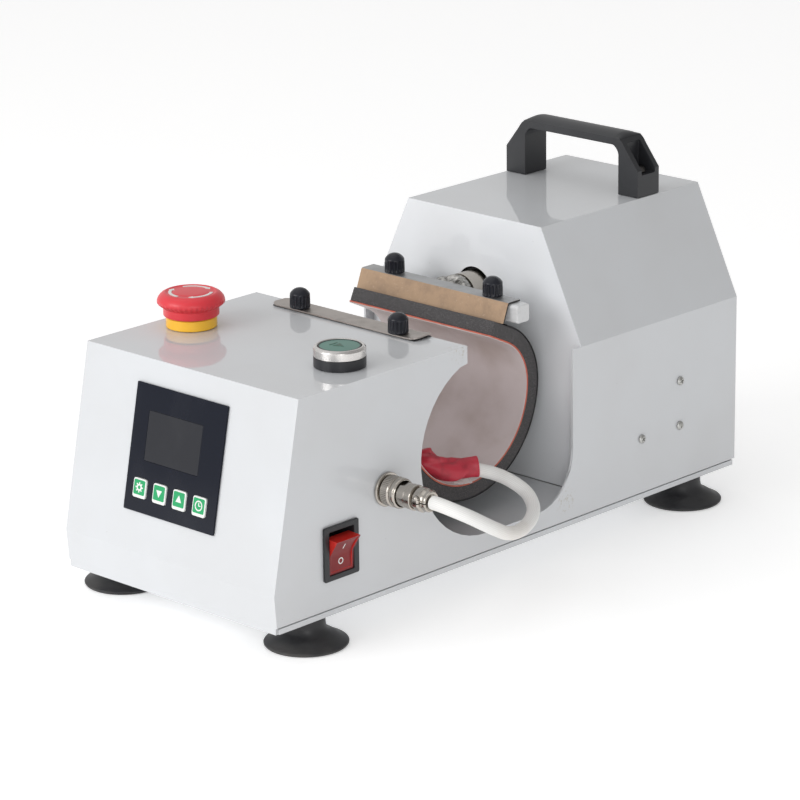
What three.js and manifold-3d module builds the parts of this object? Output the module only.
// Mug heat press: a bent-sheet casing with a heater wrap that an electric ram closes round a mug.
// Millimetres, +Z up, front panel facing -Y, mug axis along X. The origin lies on the bench,
// under the middle of the press. Stations along Y start at the front edge of the casing and
// heights start at the lower edge of its side walls; the last lines move the press to its origin.
import * as THREE from "three";
import { mergeVertices } from "three/addons/utils/BufferGeometryUtils.js";
import Module from "manifold-3d";

const wasm = await Module();
wasm.setup();

// ---------------------------------------------------------------- driving dimensions
const gap = 0.3; // between pieces that touch
const weld = 0.5; // how deep a joined piece runs into its neighbour
const through = 4; // how far a cutting tool runs past both faces of a sheet
const casing = {
  width: 172, // over the two side walls
  length: 402, // front edge to back panel
  sheet: 1.5, // thickness of every casing sheet
  frontHeight: 128, // top of the control housing
  frontLean: 20.5, // how far the panel's top edge lies behind its foot
  bulge: 1.5, // how far the panel's bend stands in front of its foot
  bulgeHeight: 19,
  lipStation: 156.5, // back edge of the control housing
  lipDepth: 10.5,
  bulkheadStation: 256, // front wall of the ram housing
  rearHeight: 172.5,
  rearTopHalf: 54,
  kinkHeight: 105, // where the ram housing's walls start to slope
};
const cavity = {
  frontCentre: [172, 66], // station and height of the cut-out's front arc
  frontRadius: 55,
  rearStation: 248.5, // back edge of the cut-out
  rearRadius: 32,
  linerFront: 110, // station of the liner's front wall
  linerRoof: casing.frontHeight - casing.lipDepth - gap,
  floor: 8.5,
  floorStart: 132,
  floorEnd: 226,
  linerFoot: 28.5, // where the front wall of the liner bends
  bendHeight: 14.5, // where the sloping facet meets the bulkhead
};
const pan = { depth: 4, groove: 0.8, flange: 6, notch: 2 };
const foot = { halfTrack: 75, front: 33.5, rear: casing.length - 37.5, radius: 24.2, stem: 11,
  height: 16.2, cup: 16, cupDepth: 2.2, rim: 1.8 };
const handle = {
  station: casing.length - 47, halfLength: 53.5, depth: 20, height: 38, leg: 15.5, shoulder: 16.5,
  slope: 15, bar: 9, corner: 4, blend: 2.3, pocketWidth: 12.5, pocketFloor: 13.5, pocketReach: 5.5,
  pocketRoof: 6,
};
const handleScrew = { head: 4.3, headHeight: 3.4, shank: 2.2, length: 16 };
const wallScrew = { head: 2.8, headHeight: 1.6, shank: 1.5, length: 7 };
const wallScrewPlaces = [ // station, height
  [casing.length - 54.5, 63], [casing.length - 54.5, 34.5], [casing.length - 90.5, 34.5],
];
const button = { station: 81, middle: -2.2, halfSpacing: 60.5, hole: 11.2, barrel: 10.8, fit: 0.3 };
const stop = { collar: 15, collarTop: 6.6, skirt: 16.4, skirtFoot: 7.2, skirtGap: 0.4, head: 19.9,
  top: 21.2, rimHeight: 15.1, stem: 5.5, stemInset: 2, travel: 5, roofGap: 1.5, barrelDepth: 20 };
const start = { ring: 15, ringTop: 6, bezelTop: 12.3, chamfer: 1.2, cap: 12.2, capGap: 0.4,
  capFoot: 5, sink: 0.4, stem: 4.6, barrelDepth: 18 };
const contactBlock = { width: 30, depth: 26, height: 26, floor: 3, stemGap: 0.6 };
const display = {
  centreX: -2.4, side: 74, plate: 2.4, slopeCentre: 60, rebate: 4, boxDepth: 42,
  window: [43.5, 28.5], windowPlace: [-2.8, 7.8], windowDepth: 1.2, key: [10.6, 11.4], keyPitch: 16.3,
  keyShift: -0.5, keyRow: -23, keyProud: 1.1, keyPocket: 2, keyDepth: 2.6,
};
const boxSide = display.side - 2 * display.rebate; // the controller's body, behind its plate
const keyNames = ["key_set", "key_down", "key_up", "key_timer"];
const rocker = { station: 50.3, height: 33, bezel: [27.4, 32], plate: 1.9, body: [23.5, 28.5],
  bodyDepth: 25, opening: [19.6, 25.6], pocketDepth: 14, pivotDepth: 3, sideGap: 0.4,
  halfHeight: 10.9, face: 7.6, waist: 4.8, back: 4, relief: 2.3, throwAngle: 17 };
const connector = { station: 88, height: 59.5, flange: 10, flangeDepth: 2.5, barrel: 7.4,
  wall: 1.8, barrelEnd: 10, rear: 12, floor: 3, holeGap: 0.5, ring: 8.9, ringStart: 3, ringEnd: 14,
  shellEnd: 24.5, clamp: 7, clampEnd: 35.4, ears: [2.5, 7.5], earWidth: 16.8, earHeight: 5.2,
  pinGap: 0.6 };
const lead = { radius: 4, sides: 12, steps: 60 };
// The lead's route, chosen by hand: distance right of the middle, station, height.
const leadRoute = [
  [122.2, 88, 59.5], [129, 88.2, 59.1], [136, 91, 57], [141.5, 97.5, 52.8], [143.5, 107, 46.8],
  [141, 120, 39.5], [136, 134, 32.5], [128.5, 151, 27], [120, 168, 24.2], [111.5, 183, 24],
  [102, 194.5, 26], [92, 199.5, 30.5], [81.5, 197, 36], [73, 193.4, 39], [67.5, 186.6, 42.3],
];
const boot = { clear: 1.3, mouth: 6.6, waist: 6, belly: 7.6, tail: 3.2, sides: 20,
  tailPoint: [50, 155, 50] };
const wrap = {
  width: 115, centre: [188.5, 82], radius: 50.3, startAngle: 150, rearRadius: 30,
  rearTurn: 64.5, straight: 16.5, mat: 1.8, foam: 8, band: 0.6, hook: 2.5, arcSteps: 30,
  rearSteps: 9,
};
const strip = { overhang: 1.5, depth: 14.5, thickness: 1, setBack: 15, studInset: 4.5 };
const knob = { radius: 6.2, height: 11.4, dome: 4.7, halfSpacing: 40, offset: 1.6, ribs: 16, ribDepth: 0.5,
  boreGap: 0.3, boreEnd: 0.2, stud: 2, studHeight: 8 };
const clampBar = { front: 221.5, foot: 122.5, side: 11, corner: 1.5, overhang: [2, 8.5] }; // left, right
const clampPlate = { overhang: 2.4, thickness: 1, drop: 10.2, leanBack: 3.8, shelf: 10 };
const ram = { collarFoot: 112.3, rod: 12, slideGap: 0.6, wall: 4.4, holeGap: 2, tubeSetBack: 7,
  tubeEnd: casing.length - 24, tubeWall: 4, stroke: 20, overrun: 24, screw: 4.8, screwGap: 0.6,
  screwLength: 93, screwInset: 30, collarLength: 5, neckLength: 5, gearbox: 16, motor: 18,
  motorHeight: 78, motorLength: 82 };
const bracket = { station: casing.length - 97, length: 50, thickness: 2, foot: 26, flangeTop: 72,
  shoulder: 86, shoulderHalf: 46 };
const supply = { station: 62, size: [92, 44, 46], shift: -26 };
const relay = { station: 98, size: [46, 9, 58], shift: 44 };
const inlet = { height: 40, flange: [50, 27], cut: [28, 22], flangeDepth: 2.5, bodyDepth: 24,
  socket: [24, 16], socketDepth: 17, pin: [2, 4], pinInset: 2,
  pinPlaces: [[-7, -1.5], [0, 3], [7, -1.5]] };
const vent = { count: 5, width: 60, height: 3, pitch: 9, lowest: 96 };
const roundSides = 32; // sides of a round piece
const smallSides = 12; // sides of a small screw, stud or hole
const curveSegments = 5;

// ---------------------------------------------------------------- finishes
const paint = (color, roughness, metalness = 0) =>
  new THREE.MeshStandardMaterial({ color, roughness, metalness });
const finishes = {
  white: paint(0xd9dde0, 0.32),
  black: paint(0x24262a, 0.5),
  rubber: paint(0x1f2023, 0.7),
  red: paint(0xc23a40, 0.45),
  yellow: paint(0xffb93b, 0.5),
  green: paint(0x0faa64, 0.4),
  glass: paint(0x4b4b50, 0.15),
  steel: paint(0xb4afa8, 0.35, 1),
  nickel: paint(0xc6c2ba, 0.25, 1),
  bronze: paint(0xac9178, 0.5, 0.4),
  silicone: paint(0x9b8f8e, 0.6),
  foam: paint(0x4b494b, 0.95),
  sleeve: paint(0xe6e4df, 0.7),
  board: paint(0x2d5a3a, 0.6),
};

// ---------------------------------------------------------------- solids
function solid(geometry) {
  const bare = geometry.index ? geometry.toNonIndexed() : geometry.clone();
  bare.deleteAttribute("normal");
  bare.deleteAttribute("uv");
  const merged = mergeVertices(bare, 1e-4);
  const corners = Array.from(merged.index.array);
  const triangles = [];
  for (let i = 0; i < corners.length; i += 3) {
    const [a, b, c] = corners.slice(i, i + 3);
    if (a !== b && b !== c && c !== a) triangles.push(a, b, c);
  }
  return new wasm.Manifold(new wasm.Mesh({
    numProp: 3,
    vertProperties: merged.attributes.position.array,
    triVerts: new Uint32Array(triangles),
  }));
}

const join = (first, ...others) => others.reduce((sum, next) => sum.add(next), first);
const cut = (first, ...others) => others.reduce((rest, next) => rest.subtract(next), first);

function geometryOf(manifold) {
  const mesh = manifold.getMesh();
  return new THREE.BufferGeometry()
    .setAttribute("position", new THREE.BufferAttribute(mesh.vertProperties, 3))
    .setIndex(new THREE.BufferAttribute(mesh.triVerts, 1));
}

function add(group, name, manifold, material) {
  const mesh = new THREE.Mesh(geometryOf(manifold), material);
  mesh.name = name;
  group.add(mesh);
}

// A box from its lowest to its highest corner.
function box(low, high) {
  const [x, y, z] = low.map((value, i) => (value + high[i]) / 2);
  const size = low.map((value, i) => high[i] - value);
  return solid(new THREE.BoxGeometry(...size).translate(x, y, z));
}

const axes = {
  x: new THREE.Matrix4().makeBasis(
    new THREE.Vector3(0, 1, 0), new THREE.Vector3(0, 0, 1), new THREE.Vector3(1, 0, 0)),
  y: new THREE.Matrix4().makeBasis(
    new THREE.Vector3(1, 0, 0), new THREE.Vector3(0, 0, 1), new THREE.Vector3(0, -1, 0)),
  z: new THREE.Matrix4(),
};

// An outline swept from one place to another along an axis. Along x the outline is in y and z,
// along y it is in x and z, and along z it is in x and y.
function sweep(axis, outline, from, to) {
  const shape = Array.isArray(outline)
    ? new THREE.Shape(outline.map((p) => new THREE.Vector2(...p)))
    : outline;
  const geometry = new THREE.ExtrudeGeometry(shape,
    { depth: to - from, bevelEnabled: false, curveSegments });
  geometry.applyMatrix4(axes[axis]);
  const start = { x: [from, 0, 0], y: [0, to, 0], z: [0, 0, from] }[axis];
  return solid(geometry.translate(...start));
}

// A solid turned about an axis from a profile of [radius, distance along the axis].
function turned(axis, profile, centre = [0, 0, 0], sides = roundSides) {
  const points = profile.map((p) => new THREE.Vector2(...p));
  if (THREE.ShapeUtils.area(points) < 0) points.reverse();
  const geometry = new THREE.LatheGeometry(points, sides);
  if (axis === "z") geometry.rotateX(Math.PI / 2);
  if (axis === "x") geometry.rotateZ(-Math.PI / 2);
  return solid(geometry.translate(...centre));
}

const rod = (axis, radius, from, to, centre, sides = roundSides) =>
  turned(axis, [[0, from], [radius, from], [radius, to], [0, to]], centre, sides);

// The closed outline of a sheet that follows a path and has its thickness on the left.
function sheetOutline(path, thickness) {
  const left = path.map((point, i) => {
    const before = path[Math.max(i - 1, 0)];
    const after = path[Math.min(i + 1, path.length - 1)];
    const into = direction(i ? before : point, i ? point : after);
    const out = direction(i < path.length - 1 ? point : before, i < path.length - 1 ? after : point);
    const cross = [-into[1] - out[1], into[0] + out[0]];
    const share = thickness * 2 / (cross[0] ** 2 + cross[1] ** 2);
    return [point[0] + cross[0] * share, point[1] + cross[1] * share];
  });
  return [...path, ...left.reverse()];
}

function direction(from, to) {
  const length = Math.hypot(to[0] - from[0], to[1] - from[1]);
  return [(to[0] - from[0]) / length, (to[1] - from[1]) / length];
}

// Points along an arc, in degrees, both ends included.
function arc(centre, radius, from, to, steps) {
  return Array.from({ length: steps + 1 }, (_, i) => {
    const angle = THREE.MathUtils.degToRad(from + ((to - from) * i) / steps);
    return [centre[0] + radius * Math.cos(angle), centre[1] + radius * Math.sin(angle)];
  });
}

// A box that reaches from one distance to another, left (-1) or right (1) of the middle.
function sideBox(side, distances, stations, heights) {
  const [low, high] = distances.map((x) => side * x).sort((a, b) => a - b);
  return box([low, stations[0], heights[0]], [high, stations[1], heights[1]]);
}

// ---------------------------------------------------------------- shared places
const wallOuter = casing.width / 2;
const wallInner = wallOuter - casing.sheet;
const inside = wallInner - gap; // half width of the sheets that stand between the side walls
const topInner = casing.frontHeight - casing.sheet;
const cutoutFloor = cavity.frontCentre[1] - cavity.frontRadius;
const ramTop = casing.rearHeight;
const sides = [-1, 1];
const sideNames = { "-1": "left", "1": "right" };
const knobPlaces = sides.map((side) => knob.offset + side * knob.halfSpacing);
const handleScrewX = handle.halfLength - handle.leg / 2;
const stripFront = casing.lipStation - strip.setBack;
const knobStation = stripFront + strip.studInset;

// ---------------------------------------------------------------- casing
// Side wall outline: leaning front, flat top, the hooked cut-out for the mug, and the ram housing.
function wallOutline() {
  const [station, height] = cavity.frontCentre;
  const lipFoot = casing.frontHeight - casing.lipDepth;
  const rear = [cavity.rearStation - cavity.rearRadius, cutoutFloor + cavity.rearRadius];
  const outline = [
    [0, 0],
    [-casing.bulge, casing.bulgeHeight],
    [casing.frontLean, casing.frontHeight],
    [casing.lipStation, casing.frontHeight],
    [casing.lipStation, lipFoot],
    ...arc([station, height], cavity.frontRadius, 113, 270, 20),
    ...arc(rear, cavity.rearRadius, -90, 0, 8),
    [cavity.rearStation, casing.kinkHeight],
    [casing.bulkheadStation, casing.kinkHeight],
    [casing.length, casing.kinkHeight],
    [casing.length, 0],
  ];
  return outline;
}

// The ram housing's slopes and top, as one folded sheet seen from the front.
function hoodOutline() {
  const path = [
    [wallOuter, casing.kinkHeight - casing.sheet],
    [wallOuter, casing.kinkHeight],
    [casing.rearTopHalf, ramTop],
    [-casing.rearTopHalf, ramTop],
    [-wallOuter, casing.kinkHeight],
    [-wallOuter, casing.kinkHeight - casing.sheet],
  ];
  return sheetOutline(path, casing.sheet);
}

function casingShell() {
  const wall = wallOutline();
  const right = sweep("x", wall, wallInner, wallOuter);
  const left = sweep("x", wall, -wallOuter, -wallInner);
  const hood = sweep("y", hoodOutline(), casing.bulkheadStation, casing.length);
  const holes = sides.flatMap((side) => wallScrewPlaces.map(([y, z]) =>
    rod("x", wallScrew.shank + gap, -through, through, [side * wallOuter, y, z], smallSides)));
  const handleHoles = sides.map((side) => rod("z", handleScrew.shank + gap, -through, through,
    [side * handleScrewX, handle.station, ramTop], smallSides));
  const [halfWidth, halfHeight] = rocker.body.map((size) => size / 2 + gap);
  const switchHole = box(
    [wallInner - through, rocker.station - halfWidth, rocker.height - halfHeight],
    [wallOuter + through, rocker.station + halfWidth, rocker.height + halfHeight]);
  const socketHole = rod("x", connector.barrel + connector.holeGap, -through, through,
    [wallOuter, connector.station, connector.height]);
  return cut(join(hood, right, left), ...holes, ...handleHoles, switchHole, socketHole);
}

const buttonPlace = (side, height) =>
  [button.middle + side * button.halfSpacing, button.station, height];

// Front panel, top and back lip, one sheet between the side walls, with its two weld studs.
function frontCover() {
  const path = [
    [0, -pan.depth],
    [0, 0],
    [-casing.bulge, casing.bulgeHeight],
    [casing.frontLean, casing.frontHeight],
    [casing.lipStation, casing.frontHeight],
    [casing.lipStation, casing.frontHeight - casing.lipDepth],
  ];
  const sheet = sweep("x", sheetOutline(path.reverse(), casing.sheet), -inside, inside);
  const buttonHoles = sides.map((side) =>
    rod("z", button.hole, -through, through, buttonPlace(side, topInner)));
  const half = boxSide / 2 + gap;
  const window = panelPlace(box([-half, -half, -through], [half, half, through]));
  const studs = knobPlaces.map((x) => rod("z", knob.stud, topInner + weld,
    casing.frontHeight + knob.studHeight, [x, knobStation, 0], smallSides));
  return join(cut(sheet, ...buttonHoles, window), ...studs);
}

// Moves a solid from the panel's own frame (x right, y up the slope, z outwards) to the press.
function panelMatrix() {
  const foot = new THREE.Vector3(0, -casing.bulge, casing.bulgeHeight);
  const top = new THREE.Vector3(0, casing.frontLean, casing.frontHeight);
  const up = top.clone().sub(foot).normalize();
  const right = new THREE.Vector3(1, 0, 0);
  const out = right.clone().cross(up);
  const centre = foot.clone().addScaledVector(up, display.slopeCentre).setX(display.centreX);
  return new THREE.Matrix4().makeBasis(right, up, out).setPosition(centre);
}

function panelPlace(manifold) {
  return solid(geometryOf(manifold).applyMatrix4(panelMatrix()));
}

// Outline of a plate that closes the ram housing, from a given height up to the hood.
function housingPlate(foot) {
  const kink = casing.kinkHeight - weld;
  const top = ramTop - casing.sheet - gap;
  const topHalf = casing.rearTopHalf - casing.sheet - gap;
  return [[-inside, foot], [inside, foot], [inside, kink], [topHalf, top], [-topHalf, top],
    [-inside, kink]];
}

function backPanel() {
  const plate = sweep("y", housingPlate(0), casing.length - casing.sheet, casing.length);
  const around = [casing.length - through, casing.length + through];
  const slots = Array.from({ length: vent.count }, (_, i) => {
    const z = vent.lowest + i * vent.pitch;
    return box([-vent.width / 2, around[0], z], [vent.width / 2, around[1], z + vent.height]);
  });
  const [w, h] = inlet.cut.map((size) => size / 2 + gap);
  const window = box([-w, around[0], inlet.height - h], [w, around[1], inlet.height + h]);
  return cut(plate, ...slots, window);
}

function bulkhead() {
  const front = casing.bulkheadStation;
  const plate = sweep("y", housingPlate(cavity.bendHeight + gap), front, front + casing.sheet);
  return cut(plate, rod("y", ram.rod + ram.holeGap, -through, through, [0, front, ramHeight]));
}

function cavityLiner() {
  const path = [
    [casing.lipStation - casing.sheet - 2 * gap, cavity.linerRoof],
    [cavity.linerFront, cavity.linerRoof],
    [cavity.linerFront, cavity.linerFoot],
    [cavity.floorStart, cavity.floor],
    [cavity.floorEnd, cavity.floor],
    [casing.bulkheadStation, cavity.bendHeight],
  ];
  return sweep("x", sheetOutline(path.reverse(), casing.sheet), -inside, inside);
}

// Shallow tray under the press: its hem shows as a thin lip below the side walls.
function basePan() {
  const front = casing.sheet + gap;
  const back = casing.length - casing.sheet - gap;
  const floor = -pan.depth + casing.sheet;
  const plate = box([-wallOuter, front, -pan.depth], [wallOuter, back, floor]);
  const edges = sides.flatMap((side) => [
    sideBox(side, [wallInner, wallOuter], [front, back], [-pan.depth, -pan.groove]),
    sideBox(side, [inside - casing.sheet, inside], [front + pan.notch, back - pan.notch],
      [floor - weld, pan.flange]),
  ]);
  return join(plate, ...edges);
}

// ---------------------------------------------------------------- feet, handle and screws
function rubberFoot() {
  const { radius, stem, height, cup, cupDepth, rim } = foot;
  return turned("z", [
    [0, cupDepth], [cup - 1, cupDepth], [cup, 0], [radius - 1.2, 0], [radius, rim / 2], [radius, rim],
    [radius - 4.2, height * 0.28], [stem + 4.5, height * 0.41], [stem + 1.4, height * 0.52],
    [stem, height * 0.64], [stem, height], [0, height],
  ]);
}

function handleOutline() {
  const { halfLength, height, leg, shoulder, slope, bar, corner, blend } = handle;
  const inner = halfLength - leg;
  const shape = new THREE.Shape();
  shape.moveTo(-halfLength, 0);
  shape.lineTo(-inner, 0);
  shape.lineTo(-inner, height - bar - corner);
  shape.quadraticCurveTo(-inner, height - bar, -inner + corner, height - bar);
  shape.lineTo(inner - corner, height - bar);
  shape.quadraticCurveTo(inner, height - bar, inner, height - bar - corner);
  shape.lineTo(inner, 0);
  shape.lineTo(halfLength, 0);
  shape.lineTo(halfLength, shoulder);
  shape.lineTo(halfLength - slope, height - blend);
  shape.quadraticCurveTo(halfLength - slope - blend, height, halfLength - slope - 2 * blend, height);
  shape.lineTo(-halfLength + slope + 2 * blend, height);
  shape.quadraticCurveTo(-halfLength + slope + blend, height, -halfLength + slope, height - blend);
  shape.lineTo(-halfLength, shoulder);
  return shape;
}

function carryHandle() {
  const front = handle.station - handle.depth / 2;
  const body = sweep("y", handleOutline(), front, front + handle.depth);
  const half = handle.pocketWidth / 2;
  const cuts = sides.flatMap((side) => [
    sideBox(side, [handleScrewX - handle.pocketReach, handle.halfLength + through],
      [handle.station - half, handle.station + half],
      [handle.pocketFloor, handle.height - handle.pocketRoof]),
    rod("z", handleScrew.shank + gap, -through, handle.pocketFloor + through,
      [side * handleScrewX, handle.station, 0], smallSides),
  ]);
  return cut(body, ...cuts);
}

const screwShape = (axis, s) => turned(axis, [
  [0, -s.length], [s.shank, -s.length], [s.shank, 0], [s.head, 0],
  [s.head, s.headHeight * 0.5], [s.head * 0.6, s.headHeight], [0, s.headHeight],
], [0, 0, 0], smallSides);

// ---------------------------------------------------------------- controls
function stopCollar() {
  const top = stop.collarTop;
  return turned("z", [
    [stop.stem + button.fit, -stop.barrelDepth], [button.barrel, -stop.barrelDepth],
    [button.barrel, gap], [stop.collar, gap], [stop.collar, top], [stop.stem + button.fit, top],
    [stop.stem + button.fit, -stop.barrelDepth],
  ]);
}

const stopRoof = stop.collarTop + stop.travel + stop.roofGap;

function stopHead() {
  const inner = stop.collar + stop.skirtGap;
  const roof = stopRoof;
  return turned("z", [
    [0, roof], [inner, roof], [inner, stop.skirtFoot], [stop.skirt, stop.skirtFoot],
    [stop.skirt, roof - 1], [stop.head - 0.9, stop.rimHeight - 1.6], [stop.head, stop.rimHeight],
    [stop.head - 0.5, stop.rimHeight + 2.4], [stop.head - 4, stop.top - 1.2],
    [stop.head - 9, stop.top], [0, stop.top],
  ]);
}

const stopStem = () => rod("z", stop.stem, -stop.barrelDepth + stop.stemInset, stopRoof - gap);

const startBore = start.cap + start.capGap;

const startRing = () => turned("z", [
  [startBore, gap], [start.ring, gap], [start.ring, start.ringTop], [startBore, start.ringTop],
  [startBore, gap],
]);

const startBezel = () => turned("z", [
  [startBore, start.ringTop + gap], [start.ring, start.ringTop + gap],
  [start.ring, start.bezelTop - start.chamfer], [start.ring - start.chamfer, start.bezelTop],
  [startBore, start.bezelTop], [startBore, start.ringTop + gap],
]);

const startCap = () => turned("z", [
  [0, -start.barrelDepth], [start.stem, -start.barrelDepth], [start.stem, start.capFoot],
  [start.cap, start.capFoot], [start.cap, start.bezelTop - start.sink], [0, start.bezelTop - start.sink],
]);

// Switch block under the panel, open in the middle for the button's stem.
function contactSwitch(top, stem) {
  const { width, depth, height, floor } = contactBlock;
  const block = box([-width / 2, -depth / 2, top - height], [width / 2, depth / 2, top]);
  return cut(block, rod("z", stem + contactBlock.stemGap, top - height + floor, top + through));
}

function controllerCase() {
  const { side, plate, boxDepth } = display;
  const face = box([-side / 2, -side / 2, gap], [side / 2, side / 2, plate]);
  const body = box([-boxSide / 2, -boxSide / 2, -boxDepth], [boxSide / 2, boxSide / 2, gap + weld]);
  const windowFloor = plate - display.windowDepth;
  const pocket = faceBlock(display.windowPlace, display.window, gap, windowFloor, plate + 1);
  const keyFloor = plate - display.keyPocket - display.keyDepth;
  const keyHoles = keyPlaces.map((place) => faceBlock(place, display.key, gap, keyFloor, plate + 1));
  return cut(join(face, body), pocket, ...keyHoles);
}

const keyPlaces = keyNames.map((_, i) =>
  [(i - (keyNames.length - 1) / 2) * display.keyPitch + display.keyShift, display.keyRow]);

// A block in the controller's face, centred on its place and wider all round by a clearance.
function faceBlock([x, y], size, clearance, from, to) {
  const [w, h] = size.map((side) => side / 2 + clearance);
  return box([x - w, y - h, from], [x + w, y + h, to]);
}

const controllerWindow = () => faceBlock(display.windowPlace, display.window, 0,
  display.plate - display.windowDepth + gap, display.plate);

// The power switch, in its own frame: x out of the wall, the pivot on the y axis.
function rockerBezel() {
  const [w, h] = rocker.bezel.map((size) => size / 2);
  const [bw, bh] = rocker.body.map((size) => size / 2);
  const [ow, oh] = rocker.opening.map((size) => size / 2);
  const plate = box([gap, -w, -h], [rocker.plate, w, h]);
  const body = box([-rocker.bodyDepth, -bw, -bh], [gap + weld, bw, bh]);
  return cut(join(plate, body), box([-rocker.pocketDepth, -ow, -oh], [rocker.plate + through, ow, oh]));
}

function rockerPaddle() {
  const { opening, sideGap, halfHeight, face, waist, back, relief } = rocker;
  const halfWidth = opening[0] / 2 - sideGap;
  const outline = [[face, halfHeight], [waist, 0], [face, -halfHeight],
    [-back + relief, -halfHeight + relief], [-back, 0], [-back + relief, halfHeight - relief]];
  const paddle = sweep("y", outline, -halfWidth, halfWidth);
  const turn = new THREE.Matrix4().makeRotationY(THREE.MathUtils.degToRad(rocker.throwAngle));
  return solid(geometryOf(paddle).applyMatrix4(turn));
}

// ---------------------------------------------------------------- heater connector and lead
const socketFloor = -connector.rear + connector.floor;
const socketBore = connector.barrel - connector.wall;
const plugPin = socketBore - connector.pinGap;

const connectorSocket = () => turned("x", [
  [socketBore, connector.barrelEnd], [socketBore, socketFloor],
  [0, socketFloor], [0, -connector.rear], [connector.barrel, -connector.rear],
  [connector.barrel, gap], [connector.flange, gap], [connector.flange, connector.flangeDepth],
  [connector.barrel, connector.flangeDepth], [connector.barrel, connector.barrelEnd],
  [socketBore, connector.barrelEnd],
]);

const couplingRing = () => turned("x", [
  [connector.barrel + gap, connector.ringStart], [connector.ring, connector.ringStart],
  [connector.ring, connector.ringEnd], [connector.barrel + gap, connector.ringEnd],
  [connector.barrel + gap, connector.ringStart],
]);

const plugShell = () => turned("x", [
  [0, socketFloor + 1], [plugPin, socketFloor + 1],
  [plugPin, connector.barrelEnd + gap], [connector.barrel, connector.barrelEnd + gap],
  [connector.barrel, connector.shellEnd], [0, connector.shellEnd],
]);

function cableClamp() {
  const from = connector.shellEnd + gap;
  const saddle = rod("x", connector.clamp, from, connector.clampEnd);
  const [earStart, earEnd] = connector.ears;
  const halfWidth = connector.earWidth / 2;
  const halfHeight = connector.earHeight / 2;
  const ears = box([from + earStart, -halfWidth, -halfHeight], [from + earEnd, halfWidth, halfHeight]);
  return join(saddle, ears);
}

function heaterLead() {
  const points = leadRoute.map((p) => new THREE.Vector3(...p));
  const route = new THREE.CatmullRomCurve3(points, false, "centripetal");
  const section = new THREE.Shape(arc([0, 0], lead.radius, 0, 360, lead.sides).slice(1)
    .map((p) => new THREE.Vector2(...p)));
  return solid(new THREE.ExtrudeGeometry(section,
    { steps: lead.steps, extrudePath: route, bevelEnabled: false }));
}

// Silicone boot that covers the joint between the lead and the heater mat.
function leadBoot() {
  const mouth = new THREE.Vector3(...leadRoute.at(-1));
  const tail = new THREE.Vector3(...boot.tailPoint);
  const along = tail.clone().sub(mouth);
  const length = along.length();
  const profile = [[0, boot.clear], [boot.mouth, boot.clear], [boot.waist, length * 0.18],
    [boot.belly, length * 0.45], [boot.waist, length * 0.7], [boot.tail, length], [0, length]];
  const geometry = new THREE.LatheGeometry(profile.map((p) => new THREE.Vector2(...p)), boot.sides);
  geometry.applyQuaternion(new THREE.Quaternion().setFromUnitVectors(
    new THREE.Vector3(0, 1, 0), along.normalize()));
  return solid(geometry.translate(mouth.x, mouth.y, mouth.z));
}

// ---------------------------------------------------------------- heater wrap
// The wrap's section at a distance outside its heated face: round the mug from the front, then
// flatter towards the ram.
function wrapPath(offset) {
  const [station, height] = wrap.centre;
  const round = arc([station, height], wrap.radius + offset, wrap.startAngle, 360, wrap.arcSteps);
  const rearCentre = [station + wrap.radius - wrap.rearRadius, height];
  const rear = arc(rearCentre, wrap.rearRadius + offset, 0, wrap.rearTurn, wrap.rearSteps).slice(1);
  const heading = THREE.MathUtils.degToRad(wrap.rearTurn + 90);
  const last = rear.at(-1);
  const end = [last[0] + wrap.straight * Math.cos(heading),
    last[1] + wrap.straight * Math.sin(heading)];
  return [...round, ...rear, end];
}

function wrapLayer(from, to, halfWidth) {
  return sweep("x", [...wrapPath(to), ...wrapPath(from).reverse()], -halfWidth, halfWidth);
}

const matLayer = () => wrapLayer(0, wrap.mat, wrap.width / 2);
const foamLayer = () => wrapLayer(wrap.mat + gap, wrap.mat + wrap.foam, wrap.width / 2);

// Thin outer band: it comes from under the strip, hooks round the lip and then follows the foam.
function bandLayer() {
  const outside = wrapPath(wrap.mat + wrap.foam + gap + wrap.band);
  const [station, height] = outside[0];
  const over = casing.frontHeight + gap;
  const path = [
    [stripFront + 1, over],
    [casing.lipStation + gap, over],
    [casing.lipStation + gap, height + wrap.hook],
    [station + wrap.hook / 2, height + wrap.hook],
    ...outside,
  ];
  const sheet = sweep("x", sheetOutline(path, wrap.band), -wrap.width / 2, wrap.width / 2);
  return cut(sheet, ...studHoles(knobStation, over));
}

// Clearance holes for the two studs, through a sheet at a height.
function studHoles(station, height) {
  return knobPlaces.map((x) =>
    rod("z", knob.stud + gap, height - through, height + through, [x, station, 0], smallSides));
}

// ---------------------------------------------------------------- clamp strips, knobs and bar
const stripFoot = casing.frontHeight + gap + wrap.band + gap;

function clampStrip() {
  const half = wrap.width / 2 + strip.overhang;
  const plate = box([-half, stripFront, stripFoot],
    [half, stripFront + strip.depth, stripFoot + strip.thickness]);
  return cut(plate, ...studHoles(knobStation, stripFoot));
}

// Domed nut with a fluted rim; its blind bore takes the stud.
function clampKnob() {
  const { radius: rim, height, dome: crown } = knob;
  const outline = Array.from({ length: 2 * knob.ribs }, (_, i) => {
    const angle = (i * Math.PI) / knob.ribs;
    const radius = rim - (i % 2 ? knob.ribDepth : 0);
    return [radius * Math.cos(angle), radius * Math.sin(angle)];
  });
  const wallTop = height - crown;
  const body = sweep("z", outline, 0, wallTop);
  const dome = turned("z", [
    [0, wallTop - 1], [rim - 1, wallTop - 1], [rim * 0.92, wallTop], [rim * 0.85, wallTop + crown * 0.36],
    [rim * 0.63, wallTop + crown * 0.71], [rim * 0.37, wallTop + crown * 0.93], [0, height],
  ]);
  const bore = rod("z", knob.stud + knob.boreGap, -through, knob.studHeight + knob.boreEnd, [0, 0, 0],
    smallSides);
  return cut(join(body, dome), bore);
}

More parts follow.
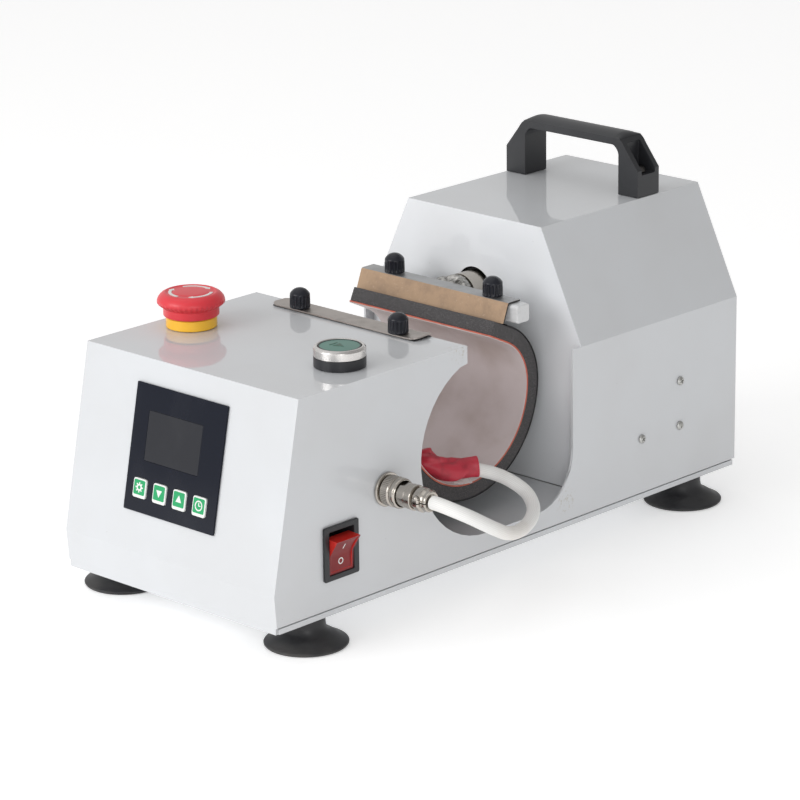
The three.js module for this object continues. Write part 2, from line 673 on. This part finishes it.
const barTop = clampBar.foot + clampBar.side;
const barMiddle = clampBar.front + clampBar.side / 2;

function squareBar() {
  const { front, foot: low, side, corner: r } = clampBar;
  const [left, right] = clampBar.overhang.map((reach) => wrap.width / 2 + reach);
  const outline = [
    ...arc([front + r, low + r], r, 180, 270, 3), ...arc([front + side - r, low + r], r, 270, 360, 3),
    ...arc([front + side - r, barTop - r], r, 0, 90, 3), ...arc([front + r, barTop - r], r, 90, 180, 3),
  ];
  const bar = sweep("x", outline, -left, right);
  const studs = knobPlaces.map((x) =>
    rod("z", knob.stud, barTop - clampBar.corner, barTop + knob.studHeight, [x, barMiddle, 0], smallSides));
  return join(bar, ...studs);
}

// Folded plate that presses the wrap's end against the bar.
function backPlate() {
  const { thickness, drop, leanBack, shelf } = clampPlate;
  const half = wrap.width / 2 + clampPlate.overhang;
  const edge = [clampBar.front - 2 * gap, barTop + gap];
  const path = [
    [edge[0] - leanBack, edge[1] - drop],
    [edge[0], edge[1]],
    [edge[0] + shelf, edge[1]],
  ];
  const sheet = sweep("x", sheetOutline(path, thickness), -half, half);
  return cut(sheet, ...studHoles(barMiddle, barTop));
}

// ---------------------------------------------------------------- ram
const rodStart = clampBar.front + clampBar.side + gap;

const collarStart = rodStart + ram.neckLength;
const eyeEnd = collarStart + ram.collarLength + 1;
const neck = ram.rod - 3.2;
const collar = ram.rod + 0.4;
const ramHeight = ram.collarFoot + collar; // so that the collar clears the wrap's shoulder
const ramAxis = [0, 0, ramHeight];

const rodEye = () => turned("y", [
  [0, rodStart], [neck, rodStart], [neck, collarStart - 1], [collar, collarStart],
  [collar, eyeEnd - 1], [neck, eyeEnd], [0, eyeEnd],
], ramAxis);

const screwStart = ram.tubeEnd - ram.screwLength;
const rodFloor = screwStart - ram.screwInset;
const rodEnd = ram.tubeEnd - ram.tubeWall - ram.stroke - ram.overrun;
const rodBore = ram.screw + ram.screwGap;

// The rod is hollow from its rear end, so that it can run back over the lead screw.
const pushRod = () => turned("y", [
  [0, eyeEnd + gap], [ram.rod, eyeEnd + gap], [ram.rod, rodEnd], [rodBore, rodEnd],
  [rodBore, rodFloor], [0, rodFloor],
], ramAxis);

const screwHole = ram.screw + 1;
const tubeFloor = ram.tubeEnd - ram.tubeWall;
const tubeStart = casing.bulkheadStation + ram.tubeSetBack;
const tubeBore = ram.rod + ram.slideGap;
const tubeRadius = tubeBore + ram.wall;

const ramTube = () => turned("y", [
  [tubeBore, tubeStart], [tubeRadius, tubeStart], [tubeRadius, ram.tubeEnd],
  [screwHole, ram.tubeEnd], [screwHole, tubeFloor], [tubeBore, tubeFloor], [tubeBore, tubeStart],
], ramAxis);

const leadScrew = () => rod("y", ram.screw, screwStart, ram.tubeEnd + ram.tubeWall, ramAxis);

// Motor and gearbox in one housing: the gearbox turns the lead screw.
function ramMotor() {
  const from = ram.tubeEnd + gap;
  const low = ram.motorHeight - ram.motor;
  const block = box([-ram.motor, from, low], [ram.motor, from + ram.gearbox, ramHeight + tubeRadius]);
  const bore = rod("y", screwHole, from - through, from + 2 * ram.tubeWall, ramAxis);
  const can = ram.motor - 1;
  const start = ram.tubeEnd - ram.motorLength;
  const motor = turned("y", [
    [0, start], [can - 1, start], [can, start + 1], [can, from + weld],
    [0, from + weld],
  ], [0, 0, ram.motorHeight]);
  return cut(join(block, motor), bore);
}

// Cross plate bolted to both side walls; it carries the ram's tube and motor.
function ramBracket() {
  const { station, length, thickness, foot: low, flangeTop, shoulder, shoulderHalf } = bracket;
  const web = box([-inside, station, low], [inside, station + thickness, ramHeight]);
  const flanges = sides.map((side) =>
    sideBox(side, [inside - thickness, inside], [station, station + length], [low, flangeTop]));
  const span = [station - 1, station + thickness + 1];
  const tubeHole = rod("y", tubeRadius + gap, ...span, ramAxis);
  const motorHole = rod("y", ram.motor, ...span, [0, 0, ram.motorHeight]);
  const corners = sides.map((side) =>
    sideBox(side, [shoulderHalf, inside + 1], span, [shoulder, ramHeight + 1]));
  const reach = 2 * thickness;
  const holes = sides.flatMap((side) => wallScrewPlaces.map(([y, z]) =>
    rod("x", wallScrew.shank + gap, -reach, reach, [side * inside, y, z], smallSides)));
  return cut(join(web, ...flanges), tubeHole, motorHole, ...corners, ...holes);
}

// ---------------------------------------------------------------- electrics inside
function blockAt({ station, size, shift }, foot) {
  const [w, d, h] = size;
  return box([shift - w / 2, station, foot], [shift + w / 2, station + d, foot + h]);
}

function mainsInlet() {
  const [fw, fh] = inlet.flange.map((size) => size / 2);
  const [cw, ch] = inlet.cut.map((size) => size / 2);
  const [sw, sh] = inlet.socket.map((size) => size / 2);
  const face = casing.length + gap;
  const front = face + inlet.flangeDepth;
  const flange = box([-fw, face, inlet.height - fh], [fw, front, inlet.height + fh]);
  const body = box([-cw, face - inlet.bodyDepth, inlet.height - ch], [cw, face + weld, inlet.height + ch]);
  const floor = front - inlet.socketDepth;
  const socket = box([-sw, floor, inlet.height - sh], [sw, front + through, inlet.height + sh]);
  const [pinWidth, pinHeight] = inlet.pin.map((size) => size / 2);
  const pins = inlet.pinPlaces.map(([x, z]) => box(
    [x - pinWidth, floor - weld, inlet.height + z - pinHeight],
    [x + pinWidth, front - inlet.pinInset, inlet.height + z + pinHeight]));
  return join(cut(join(flange, body), socket), ...pins);
}

// ---------------------------------------------------------------- assembly
const press = new THREE.Group();

function placed(name, manifold, material, x, y, z) {
  const group = new THREE.Group();
  group.position.set(x, y, z);
  add(group, name, manifold, material);
  press.add(group);
}

function addCasing() {
  add(press, "casing_shell", casingShell(), finishes.white);
  add(press, "front_cover", frontCover(), finishes.white);
  add(press, "cavity_liner", cavityLiner(), finishes.white);
  add(press, "bulkhead", bulkhead(), finishes.white);
  add(press, "back_panel", backPanel(), finishes.white);
  add(press, "base_pan", basePan(), finishes.white);
}

function addFeet() {
  const shape = rubberFoot();
  for (const end of ["front", "rear"])
    for (const side of sides)
      placed(`foot_${end}_${sideNames[side]}`, shape, finishes.rubber, side * foot.halfTrack, foot[end],
        -pan.depth - gap - foot.height);
}

function addHandle() {
  placed("carry_handle", carryHandle(), finishes.black, 0, 0, ramTop + gap);
  const screw = screwShape("z", handleScrew);
  for (const side of sides)
    placed(`handle_screw_${sideNames[side]}`, screw, finishes.steel, side * handleScrewX,
      handle.station, ramTop + gap + handle.pocketFloor + gap);
}

function addWallScrews() {
  for (const side of sides)
    wallScrewPlaces.forEach(([station, height], i) => {
      const group = new THREE.Group();
      group.position.set(side * (wallOuter + gap), station, height);
      if (side < 0) group.rotation.z = Math.PI;
      add(group, `wall_screw_${sideNames[side]}_${i + 1}`, screwShape("x", wallScrew), finishes.steel);
      press.add(group);
    });
}

function addButtons() {
  const top = casing.frontHeight;
  const left = buttonPlace(-1, top);
  const right = buttonPlace(1, top);
  placed("stop_collar", stopCollar(), finishes.yellow, ...left);
  placed("stop_head", stopHead(), finishes.red, ...left);
  placed("stop_plunger", stopStem(), finishes.black, ...left);
  placed("stop_contact", contactSwitch(-stop.barrelDepth - gap, stop.stem), finishes.black, ...left);
  placed("start_ring", startRing(), finishes.black, ...right);
  placed("start_bezel", startBezel(), finishes.steel, ...right);
  placed("start_cap", startCap(), finishes.green, ...right);
  placed("start_contact", contactSwitch(-casing.sheet - gap, start.stem), finishes.black, ...right);
}

function addController() {
  const panel = new THREE.Group();
  panel.applyMatrix4(panelMatrix());
  add(panel, "controller_case", controllerCase(), finishes.black);
  add(panel, "controller_window", controllerWindow(), finishes.glass);
  const keyFrom = display.plate - display.keyDepth;
  const keyTo = display.plate + display.keyProud;
  keyPlaces.forEach((place, i) =>
    add(panel, keyNames[i], faceBlock(place, display.key, 0, keyFrom, keyTo), finishes.green));
  press.add(panel);
}

function addPowerSwitch() {
  placed("switch_bezel", rockerBezel(), finishes.black, wallOuter, rocker.station, rocker.height);
  placed("switch_rocker", rockerPaddle(), finishes.red,
    wallOuter - rocker.pivotDepth, rocker.station, rocker.height);
}

function addConnector() {
  const at = [wallOuter, connector.station, connector.height];
  placed("heater_socket", connectorSocket(), finishes.nickel, ...at);
  placed("plug_ring", couplingRing(), finishes.nickel, ...at);
  placed("plug_shell", plugShell(), finishes.nickel, ...at);
  placed("plug_clamp", cableClamp(), finishes.nickel, ...at);
  add(press, "heater_lead", heaterLead(), finishes.sleeve);
  add(press, "lead_boot", leadBoot(), finishes.red);
}

function addWrap() {
  add(press, "heater_mat", matLayer(), finishes.silicone);
  add(press, "foam_pad", foamLayer(), finishes.foam);
  add(press, "wrap_band", bandLayer(), finishes.steel);
}

function addClamp() {
  add(press, "clamp_strip", clampStrip(), finishes.steel);
  add(press, "clamp_bar", squareBar(), finishes.white);
  add(press, "clamp_plate", backPlate(), finishes.bronze);
  const shape = clampKnob();
  const stripTop = stripFoot + strip.thickness + gap;
  const plateTop = barTop + gap + clampPlate.thickness + gap;
  sides.forEach((side, i) => {
    const name = sideNames[side];
    placed(`front_knob_${name}`, shape, finishes.black, knobPlaces[i], knobStation, stripTop);
    placed(`rear_knob_${name}`, shape, finishes.black, knobPlaces[i], barMiddle, plateTop);
  });
}

function addRam() {
  add(press, "rod_eye", rodEye(), finishes.nickel);
  add(press, "push_rod", pushRod(), finishes.nickel);
  add(press, "ram_tube", ramTube(), finishes.steel);
  add(press, "lead_screw", leadScrew(), finishes.steel);
  add(press, "ram_motor", ramMotor(), finishes.steel);
  add(press, "ram_bracket", ramBracket(), finishes.steel);
}

function addElectrics() {
  const floor = -pan.depth + casing.sheet + gap;
  add(press, "power_supply", blockAt(supply, floor), finishes.steel);
  add(press, "heater_relay", blockAt(relay, floor), finishes.board);
  add(press, "mains_inlet", mainsInlet(), finishes.black);
}

addCasing();
addFeet();
addHandle();
addWallScrews();
addButtons();
addController();
addPowerSwitch();
addConnector();
addWrap();
addClamp();
addRam();
addElectrics();

const frontReach = -casing.bulge;
const rearReach = casing.length + gap + inlet.flangeDepth;
press.position.set(0, -(frontReach + rearReach) / 2, pan.depth + gap + foot.height);

export default press;
